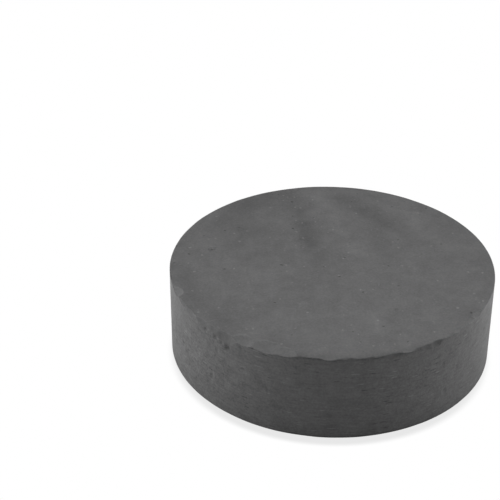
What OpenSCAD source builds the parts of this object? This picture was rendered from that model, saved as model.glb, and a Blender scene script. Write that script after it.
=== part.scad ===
// Disc magnet: one pressed and sintered ferrite disc with ground pole faces.
// Millimetres. The disc stands on the XY plane, its axis is Z, and its lower pole face is centred on
// the origin. Azimuths are degrees counter-clockwise from +X, so 270 is the front.

/* [Disc] */
// Diameter over the wall
disc_d = 25; // [12:0.5:60]
// Thickness from one pole face to the other
disc_t = 7; // [3:0.5:20]

/* [Worn edges] */
// Radius that handling has worn on the upper edge
upper_wear_r = 0.08; // [0.04:0.01:0.25]
// Radius that handling has worn on the lower edge
lower_wear_r = 0.08; // [0.04:0.01:0.25]

/* [Chips] */
// How far the chips reach in along the pole face, 1 as found
chip_bite_k = 1; // [0.8:0.05:1.5]
// How far the chips reach down the wall, 1 as found
chip_drop_k = 1; // [0.8:0.05:1.5]
// How long the chips are along the edge, 1 as found
chip_length_k = 1; // [0.8:0.05:1.5]

/* [Nicks] */
// Number of small nicks that make the front of the upper edge uneven
nick_count = 12; // [0:1:40]
// Azimuth where the nicks begin
nick_from = 216; // [200:1:260]
// Azimuth where the nicks end
nick_to = 318; // [280:1:340]
// How far an average nick reaches in along the pole face
nick_bite = 0.11; // [0.07:0.01:0.2]
// Length of an average nick along the edge
nick_length = 1.4; // [0.6:0.05:2]

/* [Pits] */
// Depth of a pit as a share of its mouth
pit_depth_k = 0.22; // [0.1:0.01:0.4]

/* [Hidden] */

disc_r = disc_d / 2;
golden = (sqrt(5) - 1) / 2;

// How far a nick's bite, slant and length swing either way, as shares of their means
nick_bite_swing = 0.25;
nick_slant_swing = 0.4;
nick_length_swing = 0.3;

// Chips on the upper edge: azimuth, bite along the pole face, drop down the wall, length along the edge.
// The wide flat ones are shallow spalls. The steep ones make the torn edge from 220 to 229 at the left
// and the notch at 300 and 303 at the right.
CHIPS = [
    [198, 0.62, 0.22, 1.4],
    [206, 0.12, 0.2, 2.2],
    [210.8, 0.12, 0.24, 1.8],
    [219.4, 0.18, 0.5, 2.4],
    [224.6, 0.2, 0.46, 2.4],
    [229.4, 0.24, 0.78, 2.8],
    [236.6, 0.9, 0.3, 1.9],
    [244.8, 1.1, 0.32, 2.7],
    [251.8, 0.8, 0.23, 1.9],
    [266.4, 0.5, 0.14, 1.3],
    [273.6, 0.13, 0.3, 0.8],
    [280, 0.1, 0.24, 0.6],
    [287.5, 0.12, 0.28, 1.6],
    [293.5, 0.5, 0.14, 1.3],
    [300.4, 0.13, 0.45, 1.6],
    [303.4, 0.18, 0.45, 1.3],
    [314, 0.4, 0.14, 1],
    [326, 0.5, 0.16, 1.1],
];

// Pits in the upper pole face: azimuth, distance in from the edge, mouth width.
FACE_PITS = [
    [166, 2.9, 0.55],
    [247, 0.95, 0.34],
    [322, 2.6, 0.36],
    [305, 4.8, 0.3],
];

// Pits in the wall: azimuth, distance down from the upper edge as a share of the thickness, mouth width.
WALL_PITS = [
    [205.5, 0.52, 0.4],
    [220.3, 0.08, 0.38],
    [225.3, 0.085, 0.38],
    [228, 0.125, 0.34],
    [230.7, 0.14, 0.52],
    [235.9, 0.07, 0.28],
    [226, 0.245, 0.34],
    [223.2, 0.6, 0.46],
    [237, 0.33, 0.3],
    [246, 0.49, 0.28],
    [266.2, 0.4, 0.36],
    [267.3, 0.71, 0.34],
    [305, 0.2, 0.32],
    [307.5, 0.33, 0.34],
    [309, 0.69, 0.42],
    [314.5, 0.44, 0.32],
];

// Fraction of a number past its whole part.
function fraction(x) = x - floor(x);

// Factor that swings round 1 from nick to nick. The square root of a prime keeps it from repeating.
function uneven(i, prime, swing) = 1 + swing * (2 * fraction(i * sqrt(prime)) - 1);

// Half section from the lower pole face to mid thickness, with its outer corner worn round.
module worn_half(wear_r) {
    square([disc_r - wear_r, disc_t / 2]);
    translate([0, wear_r]) square([disc_r, disc_t / 2 - wear_r]);
    translate([disc_r - wear_r, wear_r]) circle(r = wear_r, $fn = 48);
}

// Half section of the whole disc. The upper half is the same form turned over.
module half_section() {
    worn_half(lower_wear_r);
    translate([0, disc_t]) mirror([0, 1]) worn_half(upper_wear_r);
}

// Ball that scoops a chip out of the sharp upper edge. It passes through the chip's inner lip on the
// pole face and its lower lip on the wall, and leaves the edge at both ends of the chip's length. With
// e the depth of the sharp corner over the line that joins the lips, the ball's centre stands off that
// line by length^2 / (8 e), because the corner sees the two lips under a right angle.
module chip(azimuth, bite, drop, length) {
    lips = norm([bite, drop]);
    corner_depth = bite * drop / lips;
    stand_off = length * length / (8 * corner_depth);
    ball_r = norm([lips / 2, stand_off]);
    centre_r = disc_r - bite / 2 + stand_off * drop / lips;
    centre_z = disc_t - drop / 2 + stand_off * bite / lips;
    rotate(azimuth) translate([centre_r, 0, centre_z]) sphere(r = ball_r, $fn = 64);
}

// The chips as found, all sized by the same three factors.
module chips() {
    for (c = CHIPS)
        chip(c[0], c[1] * chip_bite_k, c[2] * chip_drop_k, c[3] * chip_length_k);
}

// Small nicks along the front of the upper edge. The golden ratio scatters them without a gap or a
// heap, and their bite, slant and length are uneven.
module nicks() {
    for (i = [0 : 1 : nick_count - 1]) {
        azimuth = nick_from + (nick_to - nick_from) * fraction((i + 0.5) * golden);
        bite = nick_bite * uneven(i, 2, nick_bite_swing);
        drop = bite * uneven(i, 3, nick_slant_swing);
        chip(azimuth, bite, drop, nick_length * uneven(i, 5, nick_length_swing));
    }
}

// Ball that leaves a pit of the given mouth width in a surface through its own origin, facing +Z.
module pit(mouth) {
    depth = mouth * pit_depth_k;
    ball_r = (mouth * mouth / 4 + depth * depth) / (2 * depth);
    translate([0, 0, ball_r - depth]) sphere(r = ball_r, $fn = 48);
}

module face_pits() {
    for (p = FACE_PITS)
        rotate(p[0]) translate([disc_r - p[1], 0, disc_t]) pit(p[2]);
}

module wall_pits() {
    for (p = WALL_PITS)
        rotate(p[0]) translate([disc_r, 0, disc_t * (1 - p[1])]) rotate([0, 90, 0]) pit(p[2]);
}

module magnet_disc() {
    color([0.36, 0.36, 0.36])
    difference() {
        rotate_extrude($fn = 256) half_section();
        chips();
        nicks();
        face_pits();
        wall_pits();
    }
}

magnet_disc();
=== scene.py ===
"""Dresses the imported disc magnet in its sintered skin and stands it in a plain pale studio.

The frame gives the disc's diameter and thickness. The skin is one closed surface, worked out as whole
arrays: two ground pole faces, a pressed wall, worn edges, chips and pits. Sizes are in millimetres and
azimuths in degrees counter-clockwise from +X, so 270 is the front. Meshes are handed over in metres.
"""

from __future__ import annotations

import logging
import math
from dataclasses import dataclass, field
from enum import Enum
from typing import Any, ClassVar, Sequence

import bpy
import numpy as np
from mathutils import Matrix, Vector

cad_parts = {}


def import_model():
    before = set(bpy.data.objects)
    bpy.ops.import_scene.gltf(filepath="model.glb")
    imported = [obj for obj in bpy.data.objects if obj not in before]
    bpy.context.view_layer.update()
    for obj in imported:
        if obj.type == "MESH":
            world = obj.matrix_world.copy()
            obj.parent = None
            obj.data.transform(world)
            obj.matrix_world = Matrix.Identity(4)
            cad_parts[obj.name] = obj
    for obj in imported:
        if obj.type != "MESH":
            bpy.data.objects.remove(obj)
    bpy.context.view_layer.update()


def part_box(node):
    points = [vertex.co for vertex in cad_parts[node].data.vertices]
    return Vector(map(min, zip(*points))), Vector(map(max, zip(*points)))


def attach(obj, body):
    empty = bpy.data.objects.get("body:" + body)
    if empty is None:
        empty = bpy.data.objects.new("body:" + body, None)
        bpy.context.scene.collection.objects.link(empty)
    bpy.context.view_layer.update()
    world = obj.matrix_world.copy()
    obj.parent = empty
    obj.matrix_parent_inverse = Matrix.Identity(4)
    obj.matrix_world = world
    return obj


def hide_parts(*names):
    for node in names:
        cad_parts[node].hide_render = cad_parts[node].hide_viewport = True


LOG = logging.getLogger("disc_magnet")

MM = 0.001
NODE = "magnet_disc"
GOLDEN = (math.sqrt(5.0) - 1.0) / 2.0
FRONT = 270.0

Array = np.ndarray
Pair = tuple[float, float]
Triple = tuple[float, float, float]


class Side(Enum):
    """Which of the two pole faces something belongs to; the value is the sign of its outward normal."""

    UPPER = 1.0
    LOWER = -1.0


class Skin(Enum):
    """Vertex attributes that tell the finish what each spot of the skin has been through, and where
    light and shade are painted into its colour.
    """

    GROUND = "ground"
    PRESSED = "pressed"
    BROKEN = "broken"
    SMUDGE_AND_PAINTED_LIGHT = "smudge_and_painted_light"
    BREAK_HIGHLIGHT = "break_highlight"
    PIT_SHADE_AND_DIRT = "pit_shade_and_dirt"
    EDGE = "edge"
    COARSE = "coarse"


def round_axis(distance: Array | float, azimuth: Array | float, height: Array | float) -> Array:
    """Returns the points at distances from the axis, azimuths in radians and heights."""
    x, y = distance * np.cos(azimuth), distance * np.sin(azimuth)
    return np.stack(np.broadcast_arrays(x, y, height), axis=-1)


def put_in_scene(name: str, data: bpy.types.ID) -> bpy.types.Object:
    """Makes an object of a mesh, a light or a camera, and links it to the scene."""
    made = bpy.data.objects.new(name, data)
    bpy.context.scene.collection.objects.link(made)
    return made


@dataclass(frozen=True)
class LatticeNoise:
    """Smooth random field: random values on a cubic lattice, blended by the smoothstep of each offset.

    Attributes:
        seed: Picks the random values.
        cell: Lattice spacing.
        period: Number of cells after which the field repeats.
    """

    seed: int
    cell: float
    period: int = 48

    def at(self, points: Array) -> Array:
        """Works out the field, between -1 and 1.

        Args:
            points: Places, one row each.

        Returns:
            One value for each place.
        """
        table = np.random.default_rng(self.seed).uniform(-1.0, 1.0, (self.period,) * 3)
        scaled = points / self.cell
        base = np.floor(scaled).astype(int)
        part = scaled - base
        part = part * part * (3.0 - 2.0 * part)
        total = np.zeros(len(points))
        for corner in np.ndindex(2, 2, 2):
            share = np.prod(np.where(corner, part, 1.0 - part), axis=1)
            i, j, k = ((base + corner) % self.period).T
            total += share * table[i, j, k]
        return total


# Random fields that roughen the skin. Their seeds only keep them apart.
EDGE_SLOW = LatticeNoise(11, 0.11)
EDGE_FINE = LatticeNoise(12, 0.035)
BREAK_COARSE = LatticeNoise(21, 0.22)
BREAK_FINE = LatticeNoise(22, 0.1)
SKIN_SLOW = LatticeNoise(31, 1.9)
SKIN_STREAKS = LatticeNoise(32, 0.6)
SKIN_GRAIN = LatticeNoise(33, 0.28)
MARK_FRAY = LatticeNoise(41, 1.3)
MARK_CLOUDS = LatticeNoise(42, 0.7)


@dataclass(frozen=True)
class Ball:
    """A ball that scoops a chip out of an edge: its azimuth, its place in that section, its radius."""

    azimuth: float
    centre_r: float
    centre_z: float
    radius: float

    def centre(self) -> Array:
        """Returns the ball's centre as a point."""
        return round_axis(self.centre_r, math.radians(self.azimuth), self.centre_z)


@dataclass(frozen=True)
class Chip:
    """A shallow chip on the upper edge.

    Attributes:
        azimuth: Where it is round the edge.
        bite: How far it reaches in along the pole face.
        drop: How far it reaches down the wall.
        length: How long it is along the edge.
        pale: How far its broken surface is painted paler than the old skin, as a painted highlight.
    """

    azimuth: float
    bite: float
    drop: float
    length: float
    pale: float = 0.0

    def ball(self, radius: float, edge_z: float) -> Ball:
        """Finds the ball through the chip's two lips and its two ends.

        The sharp corner sees both lips under a right angle. So with e the corner's depth over the line
        that joins the lips, the ball's centre stands off that line by length^2 / (8 e).

        Args:
            radius: The disc's radius.
            edge_z: Height of the edge.

        Returns:
            The ball.
        """
        lips = math.hypot(self.bite, self.drop)
        corner_depth = self.bite * self.drop / lips
        stand_off = self.length**2 / (8.0 * corner_depth)
        return Ball(
            azimuth=self.azimuth,
            centre_r=radius - self.bite / 2.0 + stand_off * self.drop / lips,
            centre_z=edge_z - self.drop / 2.0 + stand_off * self.bite / lips,
            radius=math.hypot(lips / 2.0, stand_off),
        )


@dataclass(frozen=True)
class Nicks:
    """The run of small nicks along the front of the upper edge, scattered by the golden ratio.

    Attributes:
        count: Number of nicks.
        start: Azimuth where they begin.
        end: Azimuth where they end.
        bite: How far an average one reaches in along the pole face.
        length: Its length along the edge.
        bite_swing: How far the bite swings either way from nick to nick, as a share.
        slant_swing: How far the drop over the bite swings either way.
        length_swing: How far the length swings either way.
    """

    count: int = 12
    start: float = 216.0
    end: float = 318.0
    bite: float = 0.11
    length: float = 1.4
    bite_swing: float = 0.25
    slant_swing: float = 0.4
    length_swing: float = 0.3

    @staticmethod
    def uneven(i: int, prime: int, swing: float) -> float:
        """Returns a factor that swings round 1. The square root of a prime keeps it from repeating."""
        return 1.0 + swing * (2.0 * (i * math.sqrt(prime) % 1.0) - 1.0)

    def chips(self) -> list[Chip]:
        """Lays the nicks out: golden steps round the run, other irrational steps for their sizes."""
        made = []
        for i in range(self.count):
            azimuth = self.start + (self.end - self.start) * ((i + 0.5) * GOLDEN % 1.0)
            bite = self.bite * self.uneven(i, 2, self.bite_swing)
            drop = bite * self.uneven(i, 3, self.slant_swing)
            length = self.length * self.uneven(i, 5, self.length_swing)
            made.append(Chip(azimuth, bite, drop, length))
        return made


@dataclass(frozen=True)
class Pit:
    """A round-bottomed pit.

    Attributes:
        azimuth: Where it is round the disc.
        place: The distance in from the edge on a pole face, and the share of the thickness below the
            upper edge on the wall.
        mouth: Width of its mouth.
        shade_and_dirt: How much darker the pit is painted, for its grime and its shade, from 0 to 1.
        depth_share: Its depth over the width of its mouth.
    """

    azimuth: float
    place: float
    mouth: float
    shade_and_dirt: float = 0.25
    depth_share: float = 0.22

    def depth_at(self, distance: Array) -> Array:
        """Works out how deep the pit is, as a cap of a ball that the surface cuts.

        Args:
            distance: Distances from the pit's middle along the surface.

        Returns:
            The depths, zero outside the mouth.
        """
        depth = self.mouth * self.depth_share
        ball = (self.mouth**2 / 4.0 + depth**2) / (2.0 * depth)
        height = np.sqrt(np.maximum(ball**2 - distance**2, 0.0)) - (ball - depth)
        return np.maximum(height, 0.0)

    def shade_and_dirt_at(self, depth: Array) -> Array:
        """Works out how much darker the pit is painted, for grime and shade: as the root of the depth,
        so it fills most of the pit.
        """
        return self.shade_and_dirt * np.sqrt(depth / (self.mouth * self.depth_share))


@dataclass(frozen=True)
class SoftMark:
    """A soft mark along a line from start to end. It serves for smudges, coarse patches, and the
    painted shade and light on the wall.

    Attributes:
        start: One end, as X and Y on the upper pole face, or as the way round from the front and the
            drop below the upper edge on the wall.
        end: The other end.
        width: Distance from the line at which the mark has faded to a third.
        strength: How dark it is, negative where it is paler than the rest.
        wall_r: Radius of the wall that marks on the wall are laid out on.
    """

    start: Pair
    end: Pair
    width: float
    strength: float
    wall_r: ClassVar[float] = 12.5

    def at(self, points: Array) -> Array:
        """Works out the mark: a bell curve of the distance from its line.

        Args:
            points: Places as X and Y, one row each.

        Returns:
            One strength for each place.
        """
        start = np.array(self.start)
        run = np.array(self.end) - start
        along = (points - start) @ run / max(float(run @ run), 1e-9)
        nearest = start + np.clip(along, 0.0, 1.0)[:, None] * run
        distance = np.linalg.norm(points - nearest, axis=1)
        return self.strength * np.exp(-((distance / self.width) ** 2))

    @classmethod
    def on_wall(cls, start: Pair, end: Pair, width: float, strength: float) -> SoftMark:
        """Makes a mark on the unrolled wall from azimuths and drops below the upper edge."""
        ends = [(math.radians(azimuth - FRONT) * cls.wall_r, drop) for azimuth, drop in (start, end)]
        return cls(ends[0], ends[1], width, strength)


UPPER_CHIPS = (
    # The flake at 198 has a painted highlight on its break, and the chip at 326 a faint one.
    Chip(198.0, 0.62, 0.22, 1.4, pale=0.75),
    Chip(206.0, 0.12, 0.20, 2.2),
    Chip(210.8, 0.12, 0.24, 1.8),
    Chip(219.4, 0.18, 0.50, 2.4),
    Chip(224.6, 0.20, 0.46, 2.4),
    Chip(229.4, 0.24, 0.78, 2.8),
    Chip(236.6, 0.90, 0.30, 1.9),
    Chip(244.8, 1.10, 0.32, 2.7),
    Chip(251.8, 0.80, 0.23, 1.9),
    Chip(266.4, 0.50, 0.14, 1.3),
    Chip(273.6, 0.13, 0.30, 0.8),
    Chip(280.0, 0.10, 0.24, 0.6),
    Chip(287.5, 0.12, 0.28, 1.6),
    Chip(293.5, 0.50, 0.14, 1.3),
    Chip(300.4, 0.13, 0.45, 1.6),
    Chip(303.4, 0.18, 0.45, 1.3),
    Chip(314.0, 0.40, 0.14, 1.0),
    Chip(326.0, 0.50, 0.16, 1.1, pale=0.05),
)

FACE_PITS = (
    Pit(166.0, 2.9, 0.55, shade_and_dirt=1.0),
    Pit(247.0, 0.95, 0.34),
    Pit(322.0, 2.6, 0.36),
    Pit(305.0, 4.8, 0.3),
)

WALL_PITS = (
    Pit(205.5, 0.52, 0.40),
    Pit(220.3, 0.080, 0.38),
    Pit(225.3, 0.085, 0.38),
    Pit(228.0, 0.125, 0.34),
    Pit(230.7, 0.140, 0.52),
    Pit(235.9, 0.070, 0.28),
    Pit(226.0, 0.245, 0.34),
    Pit(223.2, 0.60, 0.46),
    Pit(237.0, 0.33, 0.30),
    Pit(246.0, 0.49, 0.28),
    Pit(266.2, 0.40, 0.36),
    Pit(267.3, 0.71, 0.34),
    Pit(305.0, 0.20, 0.32),
    Pit(307.5, 0.33, 0.34),
    Pit(309.0, 0.69, 0.42),
    Pit(314.5, 0.44, 0.32),
)

FACE_SMUDGES = (
    SoftMark((-3.6, 11.0), (-6.8, 9.5), 1.4, 0.9),
    SoftMark((-6.8, 9.3), (-8.5, 5.8), 1.25, 0.75),
    SoftMark((-5.0, 9.2), (-5.4, 7.6), 1.5, 0.35),
    SoftMark((-2.7, 9.8), (-2.3, 8.2), 0.9, 0.75),
    SoftMark((-2.2, 8.0), (-2.1, 6.4), 0.5, 0.45),
    SoftMark((-2.0, 6.0), (-1.4, 2.9), 0.65, 1.0),
    SoftMark((-0.9, 6.6), (-0.9, 2.8), 0.6, 0.4),
    SoftMark((-1.4, 1.8), (-1.1, -0.6), 0.9, 0.5),
    SoftMark((-5.4, 4.6), (-5.3, 1.0), 0.7, 0.25),
    SoftMark((-5.2, 5.6), (-6.6, 5.2), 0.8, 0.55),
    SoftMark((-6.6, 5.2), (-7.3, 3.2), 0.7, 0.6),
    SoftMark((-6.0, 1.8), (-6.1, 0.6), 0.5, 0.25),
    SoftMark((1.6, 10.5), (3.0, 8.4), 1.05, 0.7),
    SoftMark((3.0, 8.4), (4.8, 6.3), 1.1, 0.85),
    SoftMark((5.7, 5.0), (6.1, 4.4), 0.5, 0.45),
    SoftMark((3.3, 5.6), (4.6, 0.8), 0.6, 0.3),
    SoftMark((-11.1, -1.4), (-10.8, -1.9), 0.8, 0.65),
    SoftMark((-11.0, -2.6), (-10.2, -5.6), 0.9, 0.45),
    SoftMark((-8.6, -7.4), (-7.9, -8.4), 1.0, 0.9),
    SoftMark((-5.6, -10.2), (-3.2, -10.8), 0.8, 0.4),
    SoftMark((-5.0, 10.6), (-1.6, 10.4), 0.8, 0.45),
    SoftMark((-3.2, 8.8), (-3.2, 7.6), 0.7, 0.4),
    SoftMark((3.6, 10.8), (4.6, 10.2), 0.6, 0.45),
    SoftMark((10.1, 6.2), (10.4, 5.0), 0.8, 0.3),
    SoftMark((9.9, -6.4), (9.4, -7.2), 0.7, 0.35),
    SoftMark((3.2, -10.2), (3.6, -10.6), 0.6, 0.35),
    SoftMark((-0.3, 11.5), (0.5, 6.5), 0.7, -0.35),
    SoftMark((0.6, 6.0), (2.0, 2.0), 0.6, -0.2),
    SoftMark((6.0, 10.2), (7.0, 5.6), 0.9, -0.3),
    SoftMark((2.1, -5.9), (2.65, -6.4), 0.17, -0.45),
    SoftMark((2.7, -6.6), (2.95, -7.7), 0.17, -0.45),
    SoftMark((2.95, -7.9), (2.8, -9.2), 0.15, -0.4),
)

# Marks on the wall. All but the one at 219 are painted light: shade under the upper edge, sheen, light
# and a floor reflection.
WALL_MARKS_AND_PAINTED_LIGHT = (
    # Painted shade under the upper edge at the left.
    SoftMark.on_wall((188.0, 0.1), (212.0, 0.1), 0.5, 1.1),
    SoftMark.on_wall((219.0, 0.5), (231.0, 0.9), 0.35, 0.45),
    # Painted shade under the upper edge at the front, ending in the dark notch at 304.
    SoftMark.on_wall((241.0, 0.3), (247.0, 0.42), 0.16, 0.35),
    SoftMark.on_wall((249.0, 0.2), (297.0, 0.08), 0.16, 0.25),
    SoftMark.on_wall((256.0, 0.25), (265.0, 0.25), 0.25, 0.5),
    SoftMark.on_wall((298.0, 0.2), (304.6, 0.35), 0.3, 0.8),
    # Painted sheen on the upper wall at the right.
    SoftMark.on_wall((330.0, 0.4), (344.0, 1.4), 1.8, -1.5),
    # Painted light on the wall at the left.
    SoftMark.on_wall((192.0, 3.4), (203.0, 3.2), 1.8, -0.25),
    # Painted reflection of the floor along the foot at the front.
    SoftMark.on_wall((260.0, 6.6), (287.0, 6.6), 0.7, -0.9),
)

COARSE_PATCHES = (
    SoftMark.on_wall((186.0, 3.5), (216.0, 3.5), 3.6, 1.0),
    SoftMark.on_wall((290.0, 3.0), (303.0, 3.0), 2.4, 0.45),
    SoftMark.on_wall((312.0, 3.5), (345.0, 3.5), 3.6, 0.45),
)


@dataclass
class MagnetSkin:
    """The whole skin of the disc as one closed surface.

    Attributes:
        radius: The disc's radius.
        thickness: The disc's thickness.
        rings: Rings of the grid on each pole face.
        fillet_rows: Rows over each rounded edge.
        wall_rows: Rows of the straight wall.
        row_crowding: How strongly those rows crowd towards the edges, from 0 to 1.
        sharp_r: Radius of the edges before they are worn.
        upper_wear_r: Mean radius that wear leaves on the upper edge.
        lower_wear_r: Mean radius that wear leaves on the lower edge.
        wear_swing: How far that radius swings either way, as a share.
        core_inset: How far inside the edges the line lies that chips are measured towards.
        chip_ripple: How far the broken surface of a chip stands off a true ball, as a share of the
            smaller of its bite and drop.
        break_depth: How much has to have broken off before the surface looks wholly broken.
        face_border: How far in from the edge the ground face has begun in full.
        face_drop: How far below a pole face nothing is ground any more.
        wall_wave: Depth of the slow unevenness of the pressed wall.
        face_wave: Depth of the slow unevenness of the ground faces.
        rim_inward: How far in over a pole face the band of painted shade and roughness along its edge
            has faded to a third.
        rim_down: How far along the wall it has.
        rim_turn: How far round from the front, in degrees.
        grime: How dark the grime along the rim of the upper pole face is.
        grime_reach: How far in from the edge it has faded to a third.
        mark_fray: How far the rubbed-in marks wander off their lines on a pole face, at most.
    """

    radius: float
    thickness: float
    rings: int = 84
    fillet_rows: int = 7
    wall_rows: int = 48
    row_crowding: float = 0.7
    sharp_r: float = 0.06
    upper_wear_r: float = 0.08
    lower_wear_r: float = 0.08
    wear_swing: float = 0.45
    core_inset: float = 1.6
    chip_ripple: float = 0.035
    break_depth: float = 0.05
    face_border: float = 0.15
    face_drop: float = 0.1
    wall_wave: float = 0.012
    face_wave: float = 0.004
    rim_inward: float = 0.5
    rim_down: float = 0.16
    rim_turn: float = 42.0
    grime: float = 0.18
    grime_reach: float = 1.2
    mark_fray: float = 0.3
    points: Array = field(init=False)
    quads: Array = field(init=False)
    broken: Array = field(init=False)
    break_highlight: Array = field(init=False)
    pit_shade_and_dirt: Array = field(init=False)
    edge: Array = field(init=False)

    def pole_grid(self) -> tuple[Array, Array]:
        """Maps a square grid onto a round pole face, square ring by square ring onto round rings.

        A grid point on square ring k lands on the circle of that ring, at an azimuth in proportion to
        its way along the ring's side. The rings draw closer towards the edge: with t = k / rings, the
        radius is the flat face's radius times (t + (1 - (1 - t)^2)) / 2.

        Returns:
            X and Y of the grid points.
        """
        steps = np.arange(-self.rings, self.rings + 1, dtype=float)
        i, j = np.meshgrid(steps, steps, indexing="ij")
        ring = np.maximum(np.abs(i), np.abs(j))
        across = np.abs(i) >= np.abs(j)
        safe_i = np.where(i == 0.0, 1.0, i)
        safe_j = np.where(j == 0.0, 1.0, j)
        azimuth = np.where(
            across,
            math.pi / 4.0 * j / safe_i + np.where(i < 0.0, math.pi, 0.0),
            math.pi / 2.0 - math.pi / 4.0 * i / safe_j + np.where(j < 0.0, math.pi, 0.0),
        )
        t = ring / self.rings
        distance = (self.radius - self.sharp_r) * (t + 1.0 - (1.0 - t) ** 2) / 2.0
        return distance * np.cos(azimuth), distance * np.sin(azimuth)

    def wall_section(self) -> tuple[Array, Array]:
        """Runs down the section from the upper face's edge to the lower one's, both left out.

        Each edge is a quarter circle of the sharp radius. Between them the rows crowd towards the
        edges: with t from 0 to 1, the way down is t - crowding sin(2 pi t) / (2 pi).

        Returns:
            Distance from the axis and height of each row.
        """
        turn = np.linspace(0.0, math.pi / 2.0, self.fillet_rows + 1)
        arc_r = self.radius - self.sharp_r * (1.0 - np.sin(turn))
        arc_drop = self.sharp_r * (1.0 - np.cos(turn))
        t = np.linspace(0.0, 1.0, self.wall_rows + 2)[1:-1]
        way = t - self.row_crowding * np.sin(2.0 * math.pi * t) / (2.0 * math.pi)
        straight = self.sharp_r + (self.thickness - 2.0 * self.sharp_r) * way
        section_r = np.concatenate([arc_r[1:], np.full(self.wall_rows, self.radius), arc_r[:0:-1]])
        drop = np.concatenate([arc_drop[1:], straight, self.thickness - arc_drop[:0:-1]])
        return section_r, self.thickness - drop

    def lay_out(self) -> None:
        """Welds the two pole grids and the wall into one closed surface with faces outward."""
        x, y = self.pole_grid()
        side = 2 * self.rings + 1
        face = np.stack([x.ravel(), y.ravel()], axis=1)
        upper = np.column_stack([face, np.full(len(face), self.thickness)])
        lower = np.column_stack([face, np.zeros(len(face))])
        index = np.arange(side * side).reshape(side, side)
        a, b, c, d = index[:-1, :-1], index[1:, :-1], index[1:, 1:], index[:-1, 1:]
        upper_quads = np.stack([a, b, c, d], axis=-1).reshape(-1, 4)
        lower_quads = np.stack([a, d, c, b], axis=-1).reshape(-1, 4) + len(face)

        border = np.concatenate([index[0, :], index[-1, :], index[1:-1, 0], index[1:-1, -1]])
        azimuth = np.arctan2(face[border, 1], face[border, 0]) % (2.0 * math.pi)
        order = np.argsort(azimuth)
        border, azimuth = border[order], azimuth[order]

        section_r, section_z = self.wall_section()
        wall = round_axis(section_r[:, None], azimuth, section_z[:, None])
        wall_index = 2 * len(face) + np.arange(wall[..., 0].size).reshape(wall.shape[:2])
        belt = np.vstack([border, wall_index, border + len(face)])
        ahead = np.roll(belt, -1, axis=1)
        wall_quads = np.stack([belt[:-1], belt[1:], ahead[1:], ahead[:-1]], axis=-1).reshape(-1, 4)

        self.points = np.vstack([upper, lower, wall.reshape(-1, 3)])
        self.quads = np.vstack([upper_quads, lower_quads, wall_quads])
        self.broken, self.break_highlight, self.pit_shade_and_dirt = np.zeros((3, len(self.points)))
        self.edge = self.rim_shade_and_roughness()

    def rim_shade_and_roughness(self) -> Array:
        """Works out the band of painted shade and roughness along each edge, before wear, strongest at
        the front, where it takes out the lamps' highlight.

        With the ways inward, down and round the edge each as a share of the band's own, it is
        exp(-(inward^2 + down^2 + round^4)).

        Returns:
            1 on the edge at the front, a third at the band's width from there.
        """
        distance, _ = self.polar()
        depth = np.minimum(self.points[:, 2], self.thickness - self.points[:, 2])
        inward = (self.radius - distance) / self.rim_inward
        down = depth / self.rim_down
        turn = np.degrees(self.from_front()) / self.rim_turn
        return np.exp(-(inward**2 + down**2 + turn**4))

    def polar(self) -> tuple[Array, Array]:
        """Returns each point's distance from the axis and its azimuth in radians."""
        distance = np.hypot(self.points[:, 0], self.points[:, 1])
        return distance, np.arctan2(self.points[:, 1], self.points[:, 0])

    def place(self, distance: Array, azimuth: Array, height: Array) -> None:
        """Moves every point to a distance from the axis, an azimuth and a height."""
        self.points = round_axis(distance, azimuth, height)

    def wear_edge(self, side: Side) -> None:
        """Rounds an edge off: what lies past the worn quarter circle is drawn back onto it.

        The worn radius swings round its mean with a slow field and, half as strongly, a fine one.

        Args:
            side: Which edge.
        """
        mean = self.upper_wear_r if side is Side.UPPER else self.lower_wear_r
        distance, azimuth = self.polar()
        around = round_axis(1.0, azimuth, side.value)
        swing = 0.65 * EDGE_SLOW.at(around) + 0.35 * EDGE_FINE.at(around)
        worn = mean * (1.0 + self.wear_swing * swing)
        edge_z = self.thickness if side is Side.UPPER else 0.0
        out = distance - (self.radius - worn)
        up = side.value * (self.points[:, 2] - edge_z) + worn
        reach = np.hypot(out, up)
        past = (out > 0.0) & (up > 0.0) & (reach > worn)
        shrink = np.where(past, worn / np.maximum(reach, 1e-9), 1.0)
        height = edge_z + side.value * (up * shrink - worn)
        self.place(
            np.where(past, self.radius - worn + out * shrink, distance),
            azimuth,
            np.where(past, height, self.points[:, 2]),
        )

    def chip_edge(self, chips: Sequence[Chip]) -> None:
        """Breaks chips out of the upper edge.

        Each point inside a chip's ball slides towards the core line, a ring well inside the edge, until
        it leaves the ball: with P the point, D the way to the core and B the ball's centre, that is the
        far root s of |P + s D - B| = ball radius. The chips are gone through twice, because a point
        that leaves one ball may then lie in an earlier one.

        Args:
            chips: The chips.
        """
        distance, azimuth = self.polar()
        core_r = self.radius - self.core_inset
        core_z = self.thickness - self.core_inset
        core = round_axis(core_r, azimuth, core_z)
        near = (distance > core_r) & (self.points[:, 2] > core_z)
        start = self.points[near]
        way = core[near] - start
        length_sq = np.sum(way**2, axis=1)
        ripple = BREAK_COARSE.at(start) + 0.5 * BREAK_FINE.at(start)
        gone = np.zeros(len(start))
        pale = np.zeros(len(start))
        for chip in (*chips, *chips):
            ball = chip.ball(self.radius, self.thickness)
            reach = ball.radius + self.chip_ripple * min(chip.bite, chip.drop) * ripple
            offset = start - ball.centre()
            half_b = np.sum(offset * way, axis=1)
            root = half_b**2 - length_sq * (np.sum(offset**2, axis=1) - reach**2)
            spread = np.sqrt(np.maximum(root, 0.0))
            enters = (-half_b - spread) / length_sq
            leaves = (-half_b + spread) / length_sq
            inside = (root > 0.0) & (enters <= gone) & (leaves > gone)
            gone = np.where(inside, leaves, gone)
            pale = np.where(inside, chip.pale, pale)
        self.points[near] = start + gone[:, None] * way
        self.broken[near] = np.clip(gone * np.sqrt(length_sq) / self.break_depth, 0.0, 1.0)
        # Painted highlight: the breaks of pale chips are painted paler.
        self.break_highlight[near] = pale * self.broken[near]

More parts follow.
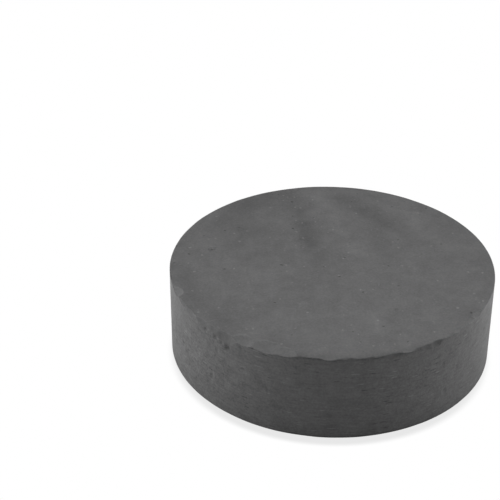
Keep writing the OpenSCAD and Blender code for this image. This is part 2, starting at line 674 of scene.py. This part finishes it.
    def sink_pits(self) -> None:
        """Sinks the pits into the upper pole face and the wall, along the surface's normal."""
        for pit in FACE_PITS:
            middle = round_axis(self.radius - pit.place, math.radians(pit.azimuth), 0.0)
            on_face = self.points[:, 2] > self.thickness - self.sharp_r
            distance = np.linalg.norm((self.points - middle)[:, :2], axis=1)
            depth = np.where(on_face, pit.depth_at(distance), 0.0)
            self.points[:, 2] -= depth
            # The pit is painted darker, for grime and shade.
            self.pit_shade_and_dirt = np.maximum(self.pit_shade_and_dirt, pit.shade_and_dirt_at(depth))
        distance, azimuth = self.polar()
        for pit in WALL_PITS:
            turned = np.angle(np.exp(1j * (azimuth - math.radians(pit.azimuth))))
            height = self.thickness * (1.0 - pit.place)
            below_edge = self.points[:, 2] < self.thickness - self.sharp_r
            on_wall = (distance > self.radius - self.core_inset / 2.0) & below_edge
            apart = np.hypot(turned * self.radius, self.points[:, 2] - height)
            depth = np.where(on_wall, pit.depth_at(apart), 0.0)
            distance = distance - depth
            # The pit is painted darker, for grime and shade.
            self.pit_shade_and_dirt = np.maximum(self.pit_shade_and_dirt, pit.shade_and_dirt_at(depth))
        self.place(distance, azimuth, self.points[:, 2])

    def roughen(self) -> None:
        """Lets the wall and the faces wander inward by about a hundredth, never outward.

        Each dip is the wave's depth times a half plus shares of the fields that add up to a half, so it
        lies between nothing and the wave's depth. The wall's streaks are drawn out level.
        """
        distance, azimuth = self.polar()
        slow = SKIN_SLOW.at(self.points)
        streaks = SKIN_STREAKS.at(self.points * np.array([0.35, 0.35, 1.6]))
        grain = SKIN_GRAIN.at(self.points)
        wall_dip = self.wall_wave * (0.5 + 0.25 * slow + 0.15 * streaks + 0.1 * grain)
        face_dip = self.face_wave * (0.5 + 0.3 * slow + 0.2 * grain)
        half = self.thickness / 2.0
        height = half + (self.points[:, 2] - half) * (1.0 - face_dip / half)
        self.place(distance * (1.0 - wall_dip / self.radius), azimuth, height)

    def surfaces(self) -> tuple[Array, Array]:
        """Tells the ground pole faces from the pressed wall, with a short fade at the edges.

        Returns:
            1 on the ground faces, then 1 on the pressed wall. Both are 0 where a chip broke out.
        """
        distance, _ = self.polar()
        depth = np.minimum(self.points[:, 2], self.thickness - self.points[:, 2])
        inward = (self.radius - distance) / self.face_border
        face = np.clip(1.0 - depth / self.face_drop, 0.0, 1.0) * np.clip(inward, 0.0, 1.0)
        return face * (1.0 - self.broken), (1.0 - face) * (1.0 - self.broken)

    def from_front(self) -> Array:
        """Returns each point's azimuth from the front in radians, positive to the right."""
        _, azimuth = self.polar()
        return np.angle(np.exp(1j * (azimuth + math.pi / 2.0)))

    def unrolled(self) -> Array:
        """Unrolls the wall: the way round from the front, and the drop below the upper edge."""
        return np.column_stack([self.radius * self.from_front(), self.thickness - self.points[:, 2]])

    def coarse(self) -> Array:
        """Works out how coarse the pressing has left each spot of the wall, from 0 to about 1."""
        return np.max([patch.at(self.unrolled()) for patch in COARSE_PATCHES], axis=0)

    def smudge_and_painted_light(self) -> Array:
        """Works out how dark the marks are: they lie over each other like layers of ink. The marks on
        the pole face are smudges; on the wall most are painted shade under the upper edge and painted
        sheen, light and floor reflection.

        What light a mark of strength s lets through is 1 - s, and marks that overlap multiply. The
        grime along the rim is one more mark, a bell curve of the way in from the edge. Random shifts of
        the points fray the marks, less so on the wall, and soft clouds make their darkness uneven.

        Returns:
            The darkness of each point, negative where it is paler than the plain skin.
        """
        far_off = 31.7
        shifts = [MARK_FRAY.at(self.points), MARK_FRAY.at(self.points + far_off)]
        fray = self.mark_fray * np.column_stack(shifts)
        distance, _ = self.polar()
        on_face = self.points[:, 2] > self.thickness - self.face_drop / 2.0
        inward = (self.radius - distance) / self.grime_reach
        left = 1.0 - np.where(on_face, self.grime * np.exp(-(inward**2)), 0.0)
        for marks, places, here in (
            (FACE_SMUDGES, self.points[:, :2] + fray, on_face),
            # Most of the wall's marks are painted shade and painted light.
            (WALL_MARKS_AND_PAINTED_LIGHT, self.unrolled() + 0.3 * fray, ~on_face),
        ):
            for mark in marks:
                left *= 1.0 - np.where(here, mark.at(places), 0.0)
        return (1.0 - left) * (1.0 + 0.3 * MARK_CLOUDS.at(self.points))

    def build(self) -> bpy.types.Object:
        """Makes the skin's mesh and its attributes.

        Returns:
            The object, at the origin, in metres.
        """
        self.lay_out()
        for side in Side:
            self.wear_edge(side)
        self.chip_edge((*UPPER_CHIPS, *Nicks().chips()))
        self.sink_pits()
        self.roughen()
        ground, pressed = self.surfaces()
        mesh = bpy.data.meshes.new("magnet_skin")
        mesh.vertices.add(len(self.points))
        mesh.vertices.foreach_set("co", (self.points * MM).astype(np.float32).ravel())
        mesh.loops.add(self.quads.size)
        mesh.loops.foreach_set("vertex_index", self.quads.astype(np.int32).ravel())
        mesh.polygons.add(len(self.quads))
        mesh.polygons.foreach_set("loop_start", np.arange(0, self.quads.size, 4, dtype=np.int32))
        mesh.polygons.foreach_set("use_smooth", np.ones(len(self.quads), dtype=bool))
        mesh.update(calc_edges=True)
        for name, values in (
            (Skin.GROUND, ground),
            (Skin.PRESSED, pressed),
            (Skin.BROKEN, self.broken),
            # Smudges, and on the wall painted shade and painted light.
            (Skin.SMUDGE_AND_PAINTED_LIGHT, self.smudge_and_painted_light()),
            # Painted highlight on the breaks.
            (Skin.BREAK_HIGHLIGHT, self.break_highlight),
            # Pits painted darker, for grime and shade.
            (Skin.PIT_SHADE_AND_DIRT, self.pit_shade_and_dirt),
            # Painted shade and roughness along the front of the rims.
            (Skin.EDGE, self.edge * (1.0 - self.broken)),
            (Skin.COARSE, self.coarse()),
        ):
            layer = mesh.attributes.new(name.value, "FLOAT", "POINT")
            layer.data.foreach_set("value", values.astype(np.float32))
        mesh.validate()
        skin = put_in_scene("magnet_skin", mesh)
        LOG.info("%s: %d points, %d faces", skin.name, len(mesh.vertices), len(mesh.polygons))
        return skin


@dataclass(frozen=True)
class Specks:
    """One kind of speck.

    Attributes:
        spacing: Size of a cell of the net that the specks lie in.
        radius: Radius of the largest.
        share: Share of the cells that have one.
        stretch: Factor on each axis, below 1 to draw the specks out.
    """

    spacing: float
    radius: float
    share: float
    stretch: Triple = (1.0, 1.0, 1.0)


class Signal:
    """A shader socket that takes part in sums written as Python expressions."""

    def __init__(self, tree: ShaderTree, socket: bpy.types.NodeSocket) -> None:
        """Keeps the tree that the sums are added to, and the socket that carries the value."""
        self.tree = tree
        self.socket = socket

    def _sum(self, operation: str, first: Signal | float, second: Signal | float) -> Signal:
        """Adds one Math node of the operation on two values."""
        node = self.tree.node("ShaderNodeMath", {"operation": operation}, {0: first, 1: second})
        return Signal(self.tree, node.outputs[0])

    def __add__(self, other: Signal | float) -> Signal:
        """Returns self + other."""
        return self._sum("ADD", self, other)

    def __mul__(self, other: Signal | float) -> Signal:
        """Returns self * other."""
        return self._sum("MULTIPLY", self, other)

    def __sub__(self, other: Signal | float) -> Signal:
        """Returns self - other."""
        return self._sum("SUBTRACT", self, other)

    def __rsub__(self, other: Signal | float) -> Signal:
        """Returns other - self."""
        return self._sum("SUBTRACT", other, self)

    __radd__ = __add__
    __rmul__ = __mul__

    def above(self, limit: float) -> Signal:
        """Returns 1 where self is greater than the limit, and 0 elsewhere."""
        return self._sum("GREATER_THAN", self, limit)

    def eased(self, low: float, high: float) -> Signal:
        """Eases self from 0 at low to 1 at high."""
        node = self.tree.node(
            "ShaderNodeMapRange",
            {"interpolation_type": "SMOOTHSTEP"},
            {"Value": self, "From Min": low, "From Max": high},
        )
        return Signal(self.tree, node.outputs[0])


class ShaderTree:
    """The node tree of one material or world, with the few calls that the finishes are written in."""

    def __init__(self, owner: bpy.types.Material | bpy.types.World) -> None:
        """Empties the owner's node tree and keeps it."""
        owner.use_nodes = True
        self.tree = owner.node_tree
        self.tree.nodes.clear()

    def node(
        self,
        kind: str,
        settings: dict[str, Any] | None = None,
        sockets: dict[str | int, Any] | None = None,
    ) -> bpy.types.Node:
        """Adds a node.

        Args:
            kind: The node's type.
            settings: Its own properties, set first.
            sockets: A value, a Signal or a socket for each named or numbered input.

        Returns:
            The node.
        """
        made = self.tree.nodes.new(kind)
        for name, value in (settings or {}).items():
            setattr(made, name, value)
        for name, value in (sockets or {}).items():
            target = made.inputs[name]
            if isinstance(value, Signal):
                self.tree.links.new(value.socket, target)
            elif isinstance(value, bpy.types.NodeSocket):
                self.tree.links.new(value, target)
            else:
                target.default_value = value
        return made

    def signal(self, node: bpy.types.Node, output: str | int = 0) -> Signal:
        """Returns an output of a node as a Signal."""
        return Signal(self, node.outputs[output])

    def attribute(self, skin: Skin) -> Signal:
        """Reads one of the skin's vertex attributes."""
        return self.signal(self.node("ShaderNodeAttribute", {"attribute_name": skin.value}), "Fac")

    def millimetres(self, stretch: Triple) -> bpy.types.NodeSocket:
        """Returns Object coordinates in millimetres, multiplied by a factor on each axis."""
        coordinates = self.node("ShaderNodeTexCoord")
        scaled = self.node(
            "ShaderNodeVectorMath",
            {"operation": "MULTIPLY"},
            {0: coordinates.outputs["Object"], 1: tuple(s / MM for s in stretch)},
        )
        return scaled.outputs[0]

    def noise(
        self, size: float, detail: float, rough: float = 0.5, stretch: Triple = (1.0, 1.0, 1.0)
    ) -> Signal:
        """Adds a noise centred on zero.

        Args:
            size: Size of its largest features in millimetres.
            detail: Octaves.
            rough: Share that each octave keeps.
            stretch: Factor on each axis, above 1 for smaller features.

        Returns:
            The noise, about -0.5 to 0.5.
        """
        sockets = {"Vector": self.millimetres(stretch), "Scale": 1.0 / size, "Detail": detail}
        made = self.node("ShaderNodeTexNoise", None, {**sockets, "Roughness": rough})
        return self.signal(made) - 0.5

    def specks(self, kind: Specks, fray: Signal | float = 0.0) -> Signal:
        """Scatters specks: a share of the cells of a random net, each with a soft dot at its point.

        The cell's own random numbers pick whether it has a dot, the dot's size, from 0.4 to 1 of the
        radius, and its strength.

        Args:
            kind: How large the specks are and how close they lie.
            fray: What is added to the distance from the point, in cells, to make the dots ragged.

        Returns:
            0.3 to 1.1 in a dot and 0 between them.
        """
        sockets = {"Vector": self.millimetres(kind.stretch), "Scale": 1.0 / kind.spacing}
        net = self.node("ShaderNodeTexVoronoi", {"feature": "F1"}, sockets)
        pick = self.node("ShaderNodeSeparateColor", None, {"Color": net.outputs["Color"]})
        chosen = self.signal(pick, "Red").above(1.0 - kind.share)
        half = 0.5 * kind.radius / kind.spacing
        size = self.signal(pick, "Green") * 0.6 + 0.4
        dot = 1.0 - (self.signal(net, "Distance") + fray - size * half).eased(0.0, half)
        return dot * chosen * (self.signal(pick, "Blue") * 0.8 + 0.3)

    def colour(self, factor: Signal, low: Triple, high: Triple) -> bpy.types.NodeSocket:
        """Mixes two colours by a factor. Inputs 6 and 7 take them, and output 2 gives the mix."""
        colours = {6: (*low, 1.0), 7: (*high, 1.0)}
        made = self.node("ShaderNodeMix", {"data_type": "RGBA"}, {"Factor": factor, **colours})
        return made.outputs[2]

    def for_rays(
        self, usual: bpy.types.Node, mirrored: bpy.types.Node, seen: bpy.types.Node
    ) -> bpy.types.NodeSocket:
        """Picks a shader by the ray that meets it.

        Args:
            usual: The shader for all other rays.
            mirrored: The shader that shows in reflections.
            seen: The shader that the camera sees.

        Returns:
            The picked shader.
        """
        path = self.node("ShaderNodeLightPath")
        shader = usual.outputs[0]
        for ray, other in (("Is Glossy Ray", mirrored), ("Is Camera Ray", seen)):
            sockets = {0: path.outputs[ray], 1: shader, 2: other.outputs[0]}
            shader = self.node("ShaderNodeMixShader", None, sockets).outputs[0]
        return shader


PALE_SPECKS = Specks(0.5, 0.14, 0.27)
SMALL_SPECKS = Specks(0.29, 0.10, 0.30)
DARK_SPECKS = Specks(0.55, 0.14, 0.15, (1.0, 1.0, 1.1))
PALE_DASHES = Specks(0.25, 0.065, 0.8, (0.16, 0.16, 1.0))
DARK_DASHES = Specks(0.25, 0.065, 0.8, (0.17, 0.15, 1.07))


@dataclass(frozen=True)
class Tones:
    """How far each thing moves the shade, where 1 is the whole way from the darkest to the palest.

    The first three are everywhere, the next four on the pole faces, where small_specks is a share of
    pale_specks, and the next six on the wall, on top of the first three. The rest is wear, grime and
    painted light: smudges with painted shade and light on the wall, a painted highlight on breaks,
    grime and painted shade in the pits, and painted shade along the rims.
    """

    clouds: float = 0.14
    mottles: float = 0.42
    grain: float = 0.34

    lines: float = 0.05
    pale_specks: float = 0.36
    small_specks: float = 0.55
    dark_specks: float = 0.38

    streaks: float = 0.42
    wall_mottles: float = 0.24
    wall_grain: float = 0.2
    pale_dashes: float = 0.48
    dark_dashes: float = 0.42
    coarse: float = 0.5

    # Smudges, and the painted shade and light on the wall.
    smudge_and_painted_light: float = 0.17
    smudge_mottles: float = 0.3
    # Painted highlight on the breaks.
    break_highlight: float = 0.45
    # Pits painted darker, for grime and shade.
    pit_shade_and_dirt: float = 0.4
    # Painted shade along the front of the rims.
    edge: float = 0.08
    broken: float = 0.02


@dataclass(frozen=True)
class SinteredFerrite:
    """Matt dark grey sintered ferrite, ground on the pole faces and as pressed on the wall.

    Attributes:
        dark: The darkest colour that the skin reaches.
        pale: The palest colour that it reaches.
        mean: Where between the two the plain skin lies.
        tones: How far each thing moves the shade.
        roughness: Roughness of the plain skin.
        relief_depth: How high the fine relief stands where its sum is 1.
    """

    dark: Triple = (0.030, 0.030, 0.0305)
    pale: Triple = (0.190, 0.190, 0.191)
    mean: float = 0.445
    tones: Tones = Tones()
    roughness: float = 0.52
    relief_depth: float = 0.012

    def material(self) -> bpy.types.Material:
        """Builds the finish.

        The shade is a sum round the mean: clouds, mottles and grain everywhere, faint grinding lines
        and ragged specks on the ground faces, and level streaks, dashes and coarse blotches on the
        pressed wall. Smudges darken it, and on the wall the same marks paint shade under the upper edge
        and paint sheen, light and a floor reflection. The pits are painted darker for grime and shade,
        the front of the rims is painted darker to take out the lamps' highlight, breaks make it a
        little paler, and a painted highlight makes some breaks paler still. The relief follows the
        grain, mottles, dark specks and lines.

        Returns:
            The material.
        """
        material = bpy.data.materials.new("sintered_ferrite")
        tree = ShaderTree(material)
        tones = self.tones
        ground, pressed, broken, smudge_and_painted_light, break_highlight, pit_shade_and_dirt, edge, coarse = map(tree.attribute, Skin)
        clouds = tree.noise(6.0, 2.0)
        mottles = tree.noise(1.1, 4.0, 0.6)
        grain = tree.noise(0.16, 2.0)
        lines = tree.noise(1.0, 3.0, 0.6, (5.0, 0.16, 1.0))
        streaks = tree.noise(1.0, 3.0, 0.5, (0.9, 0.9, 6.0))
        blotches = tree.noise(0.45, 2.0)
        fray = tree.noise(0.14, 0.0) * 0.3
        pale_specks = (
            tree.specks(PALE_SPECKS, fray) + tree.specks(SMALL_SPECKS, fray) * tones.small_specks
        )
        dark_specks = tree.specks(DARK_SPECKS, fray)
        on_faces = (
            lines * tones.lines
            + pale_specks * tones.pale_specks
            - dark_specks * tones.dark_specks
        )
        on_wall = (
            streaks * tones.streaks
            + mottles * tones.wall_mottles
            + grain * tones.wall_grain
            + tree.specks(PALE_DASHES) * tones.pale_dashes
            - tree.specks(DARK_DASHES) * tones.dark_dashes
            + coarse * (blotches + grain) * tones.coarse
        )
        # Painted light and shade in this sum: the wall's marks, the pits, the rims and the highlight on
        # breaks.
        shade = (
            clouds * tones.clouds
            + mottles * tones.mottles
            + grain * tones.grain
            + ground * on_faces
            + pressed * on_wall
            - smudge_and_painted_light * (tones.smudge_and_painted_light + tones.smudge_mottles * mottles)
            + break_highlight * tones.break_highlight
            - pit_shade_and_dirt * tones.pit_shade_and_dirt
            - edge * tones.edge
            + broken * tones.broken
            + self.mean
        )
        roughness = self.roughness + mottles * 0.1 + broken * 0.2 + edge * 0.3 - smudge_and_painted_light * 0.06
        relief = grain * (0.7 + break_highlight * 1.5) + mottles * 0.5 + ground * lines * 0.35 - dark_specks * 0.8
        bump = tree.node("ShaderNodeBump", None, {"Distance": self.relief_depth * MM, "Height": relief})
        surface = tree.node(
            "ShaderNodeBsdfPrincipled",
            None,
            {
                "Base Color": tree.colour(shade, self.dark, self.pale),
                "Roughness": roughness,
                "Normal": bump.outputs[0],
            },
        )
        tree.node("ShaderNodeOutputMaterial", None, {"Surface": surface.outputs[0]})
        return material


@dataclass(frozen=True)
class SoftBox:
    """A square lamp that faces the disc.

    Attributes:
        name: What it is.
        azimuth: Where it stands round the disc.
        elevation: How high it stands.
        distance: How far from the disc.
        width: Its side.
        level: Light that it would throw squarely on the disc, where 1 shows a colour as written.
    """

    name: str
    azimuth: float
    elevation: float
    distance: float
    width: float
    level: float

    def build(self, target: Vector) -> None:
        """Makes the lamp.

        A square lamp of side w and power p throws p / (pi w^2) of radiance, so at distance d it lights
        a facing surface with p / (pi d^2), and the power for a level is the level times pi^2 d^2.

        Args:
            target: The point it faces.
        """
        light = bpy.data.lights.new(self.name, "AREA")
        light.size = self.width * MM
        light.energy = self.level * (math.pi * self.distance * MM) ** 2
        lamp = put_in_scene(self.name, light)
        turn, rise = math.radians(self.azimuth), math.radians(self.elevation)
        way = Vector(round_axis(math.cos(rise), turn, math.sin(rise)))
        lamp.location = target + way * self.distance * MM
        lamp.rotation_euler = way.to_track_quat("Z", "Y").to_euler()


@dataclass(frozen=True)
class Studio:
    """A plain pale floor, soft lamps and the camera.

    Attributes:
        ambient: Level of the light that comes from all round.
        sky_sheen: How bright the surroundings show in reflections on the disc.
        floor_half: Half the floor's side.
        floor_bounce: How much of its light the floor throws back at the disc.
        sheen_reach: How far from the disc's foot the floor is darker in reflections.
        shadow_tone: How bright the floor stays in the shadow at the disc's foot.
        shadow_reach: How far that shadow reaches over the floor.
        shadow_lean: How far from upright the floor looks to find how much of its sky the disc hides.
        shadow_azimuth: The way it looks then.
        shadow_ease: The share left open at which the shadow is full, and the one at which it is gone.
        camera_place: The camera, from the middle of the lower face.
        camera_dip: How far the camera looks down.
        lens: Focal length over a 36 mm sensor.
        nearest: How close to the camera things are still drawn.
        lamps: The lamps.
    """

    ambient: float = 0.04
    sky_sheen: float = 0.25
    floor_half: float = 3000.0
    floor_bounce: float = 0.55
    sheen_reach: float = 10.0
    shadow_tone: float = 0.80
    shadow_reach: float = 1.5
    shadow_lean: float = 66.0
    shadow_azimuth: float = 86.0
    shadow_ease: Pair = (0.48, 0.75)
    camera_place: Triple = (-6.3, -91.0, 63.7)
    camera_dip: float = 31.34
    lens: float = 100.0
    nearest: float = 5.0
    lamps: tuple[SoftBox, ...] = (
        SoftBox("overhead", 90.0, 80.0, 320.0, 260.0, 0.84),
        SoftBox("left", 179.0, 12.0, 260.0, 160.0, 0.70),
        SoftBox("right", 8.0, 12.0, 260.0, 160.0, 0.58),
    )

    def shadow(self, tree: ShaderTree) -> Signal:
        """Works out how bright the floor is to the camera: darker where the disc hides its sky.

        The floor looks up leaning towards the disc's back, so that the shadow lies along the front.

        Args:
            tree: The floor's node tree.

        Returns:
            The shadow tone beside the disc's foot, and 1 away from it.
        """
        lean, turn = math.radians(self.shadow_lean), math.radians(self.shadow_azimuth)
        way = round_axis(math.sin(lean), turn, math.cos(lean))
        leaning = tree.node("ShaderNodeCombineXYZ", None, dict(zip("XYZ", way)))
        foot = tree.node(
            "ShaderNodeAmbientOcclusion",
            {"samples": 64},
            {"Distance": self.shadow_reach * MM, "Normal": leaning.outputs[0]},
        )
        lit = tree.signal(foot, "AO").eased(*self.shadow_ease)
        return lit * (1.0 - self.shadow_tone) + self.shadow_tone

    def build_floor(self) -> None:
        """Makes the floor, white to the camera but for the disc's shadow, and darker to the disc."""
        half = self.floor_half * MM
        corners = [(-half, -half, 0.0), (half, -half, 0.0), (half, half, 0.0), (-half, half, 0.0)]
        mesh = bpy.data.meshes.new("floor")
        mesh.from_pydata(corners, [], [(0, 1, 2, 3)])
        material = bpy.data.materials.new("pale_floor")
        tree = ShaderTree(material)
        bounce = self.floor_bounce
        around = tree.node("ShaderNodeAmbientOcclusion", None, {"Distance": self.sheen_reach * MM})
        surface = tree.for_rays(
            usual=tree.node("ShaderNodeBsdfDiffuse", None, {"Color": (bounce, bounce, bounce, 1.0)}),
            mirrored=tree.node("ShaderNodeEmission", None, {"Strength": around.outputs["AO"]}),
            seen=tree.node("ShaderNodeEmission", None, {"Strength": self.shadow(tree)}),
        )
        tree.node("ShaderNodeOutputMaterial", None, {"Surface": surface})
        mesh.materials.append(material)
        floor = put_in_scene("floor", mesh)

    def build_world(self) -> None:
        """Surrounds the disc with even light, and shows the camera plain white."""
        world = bpy.data.worlds.new("studio")
        bpy.context.scene.world = world
        tree = ShaderTree(world)
        white = (1.0, 1.0, 1.0, 1.0)
        usual, mirrored, seen = (
            tree.node("ShaderNodeBackground", None, {"Color": white, "Strength": strength})
            for strength in (self.ambient, self.sky_sheen, 1.0)
        )
        tree.node("ShaderNodeOutputWorld", None, {"Surface": tree.for_rays(usual, mirrored, seen)})

    def build_camera(self) -> None:
        """Makes the camera and hands it to the scene."""
        lens = bpy.data.cameras.new("camera")
        lens.lens = self.lens
        lens.clip_start = self.nearest * MM
        camera = put_in_scene("camera", lens)
        camera.location = Vector(self.camera_place) * MM
        camera.rotation_euler = (math.radians(90.0 - self.camera_dip), 0.0, 0.0)
        bpy.context.scene.camera = camera

    def build(self, target: Vector) -> None:
        """Makes the whole studio round a target point."""
        bpy.context.scene.view_settings.view_transform = "Standard"
        self.build_camera()
        self.build_floor()
        self.build_world()
        for lamp in self.lamps:
            lamp.build(target)
        LOG.info("studio: %d lamps", len(self.lamps))


def main() -> None:
    """Loads the frame, builds the skin and the studio round the part's box."""
    logging.basicConfig(level=logging.INFO, format="%(name)s: %(message)s")
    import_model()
    low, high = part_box(NODE)
    radius, thickness = (high.x - low.x) / 2.0 / MM, (high.z - low.z) / MM
    skin = MagnetSkin(radius, thickness).build()
    skin.data.materials.append(SinteredFerrite().material())
    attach(skin, "root")
    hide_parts(NODE)
    Studio().build((low + high) / 2.0)


if __name__ == "__main__":
    main()
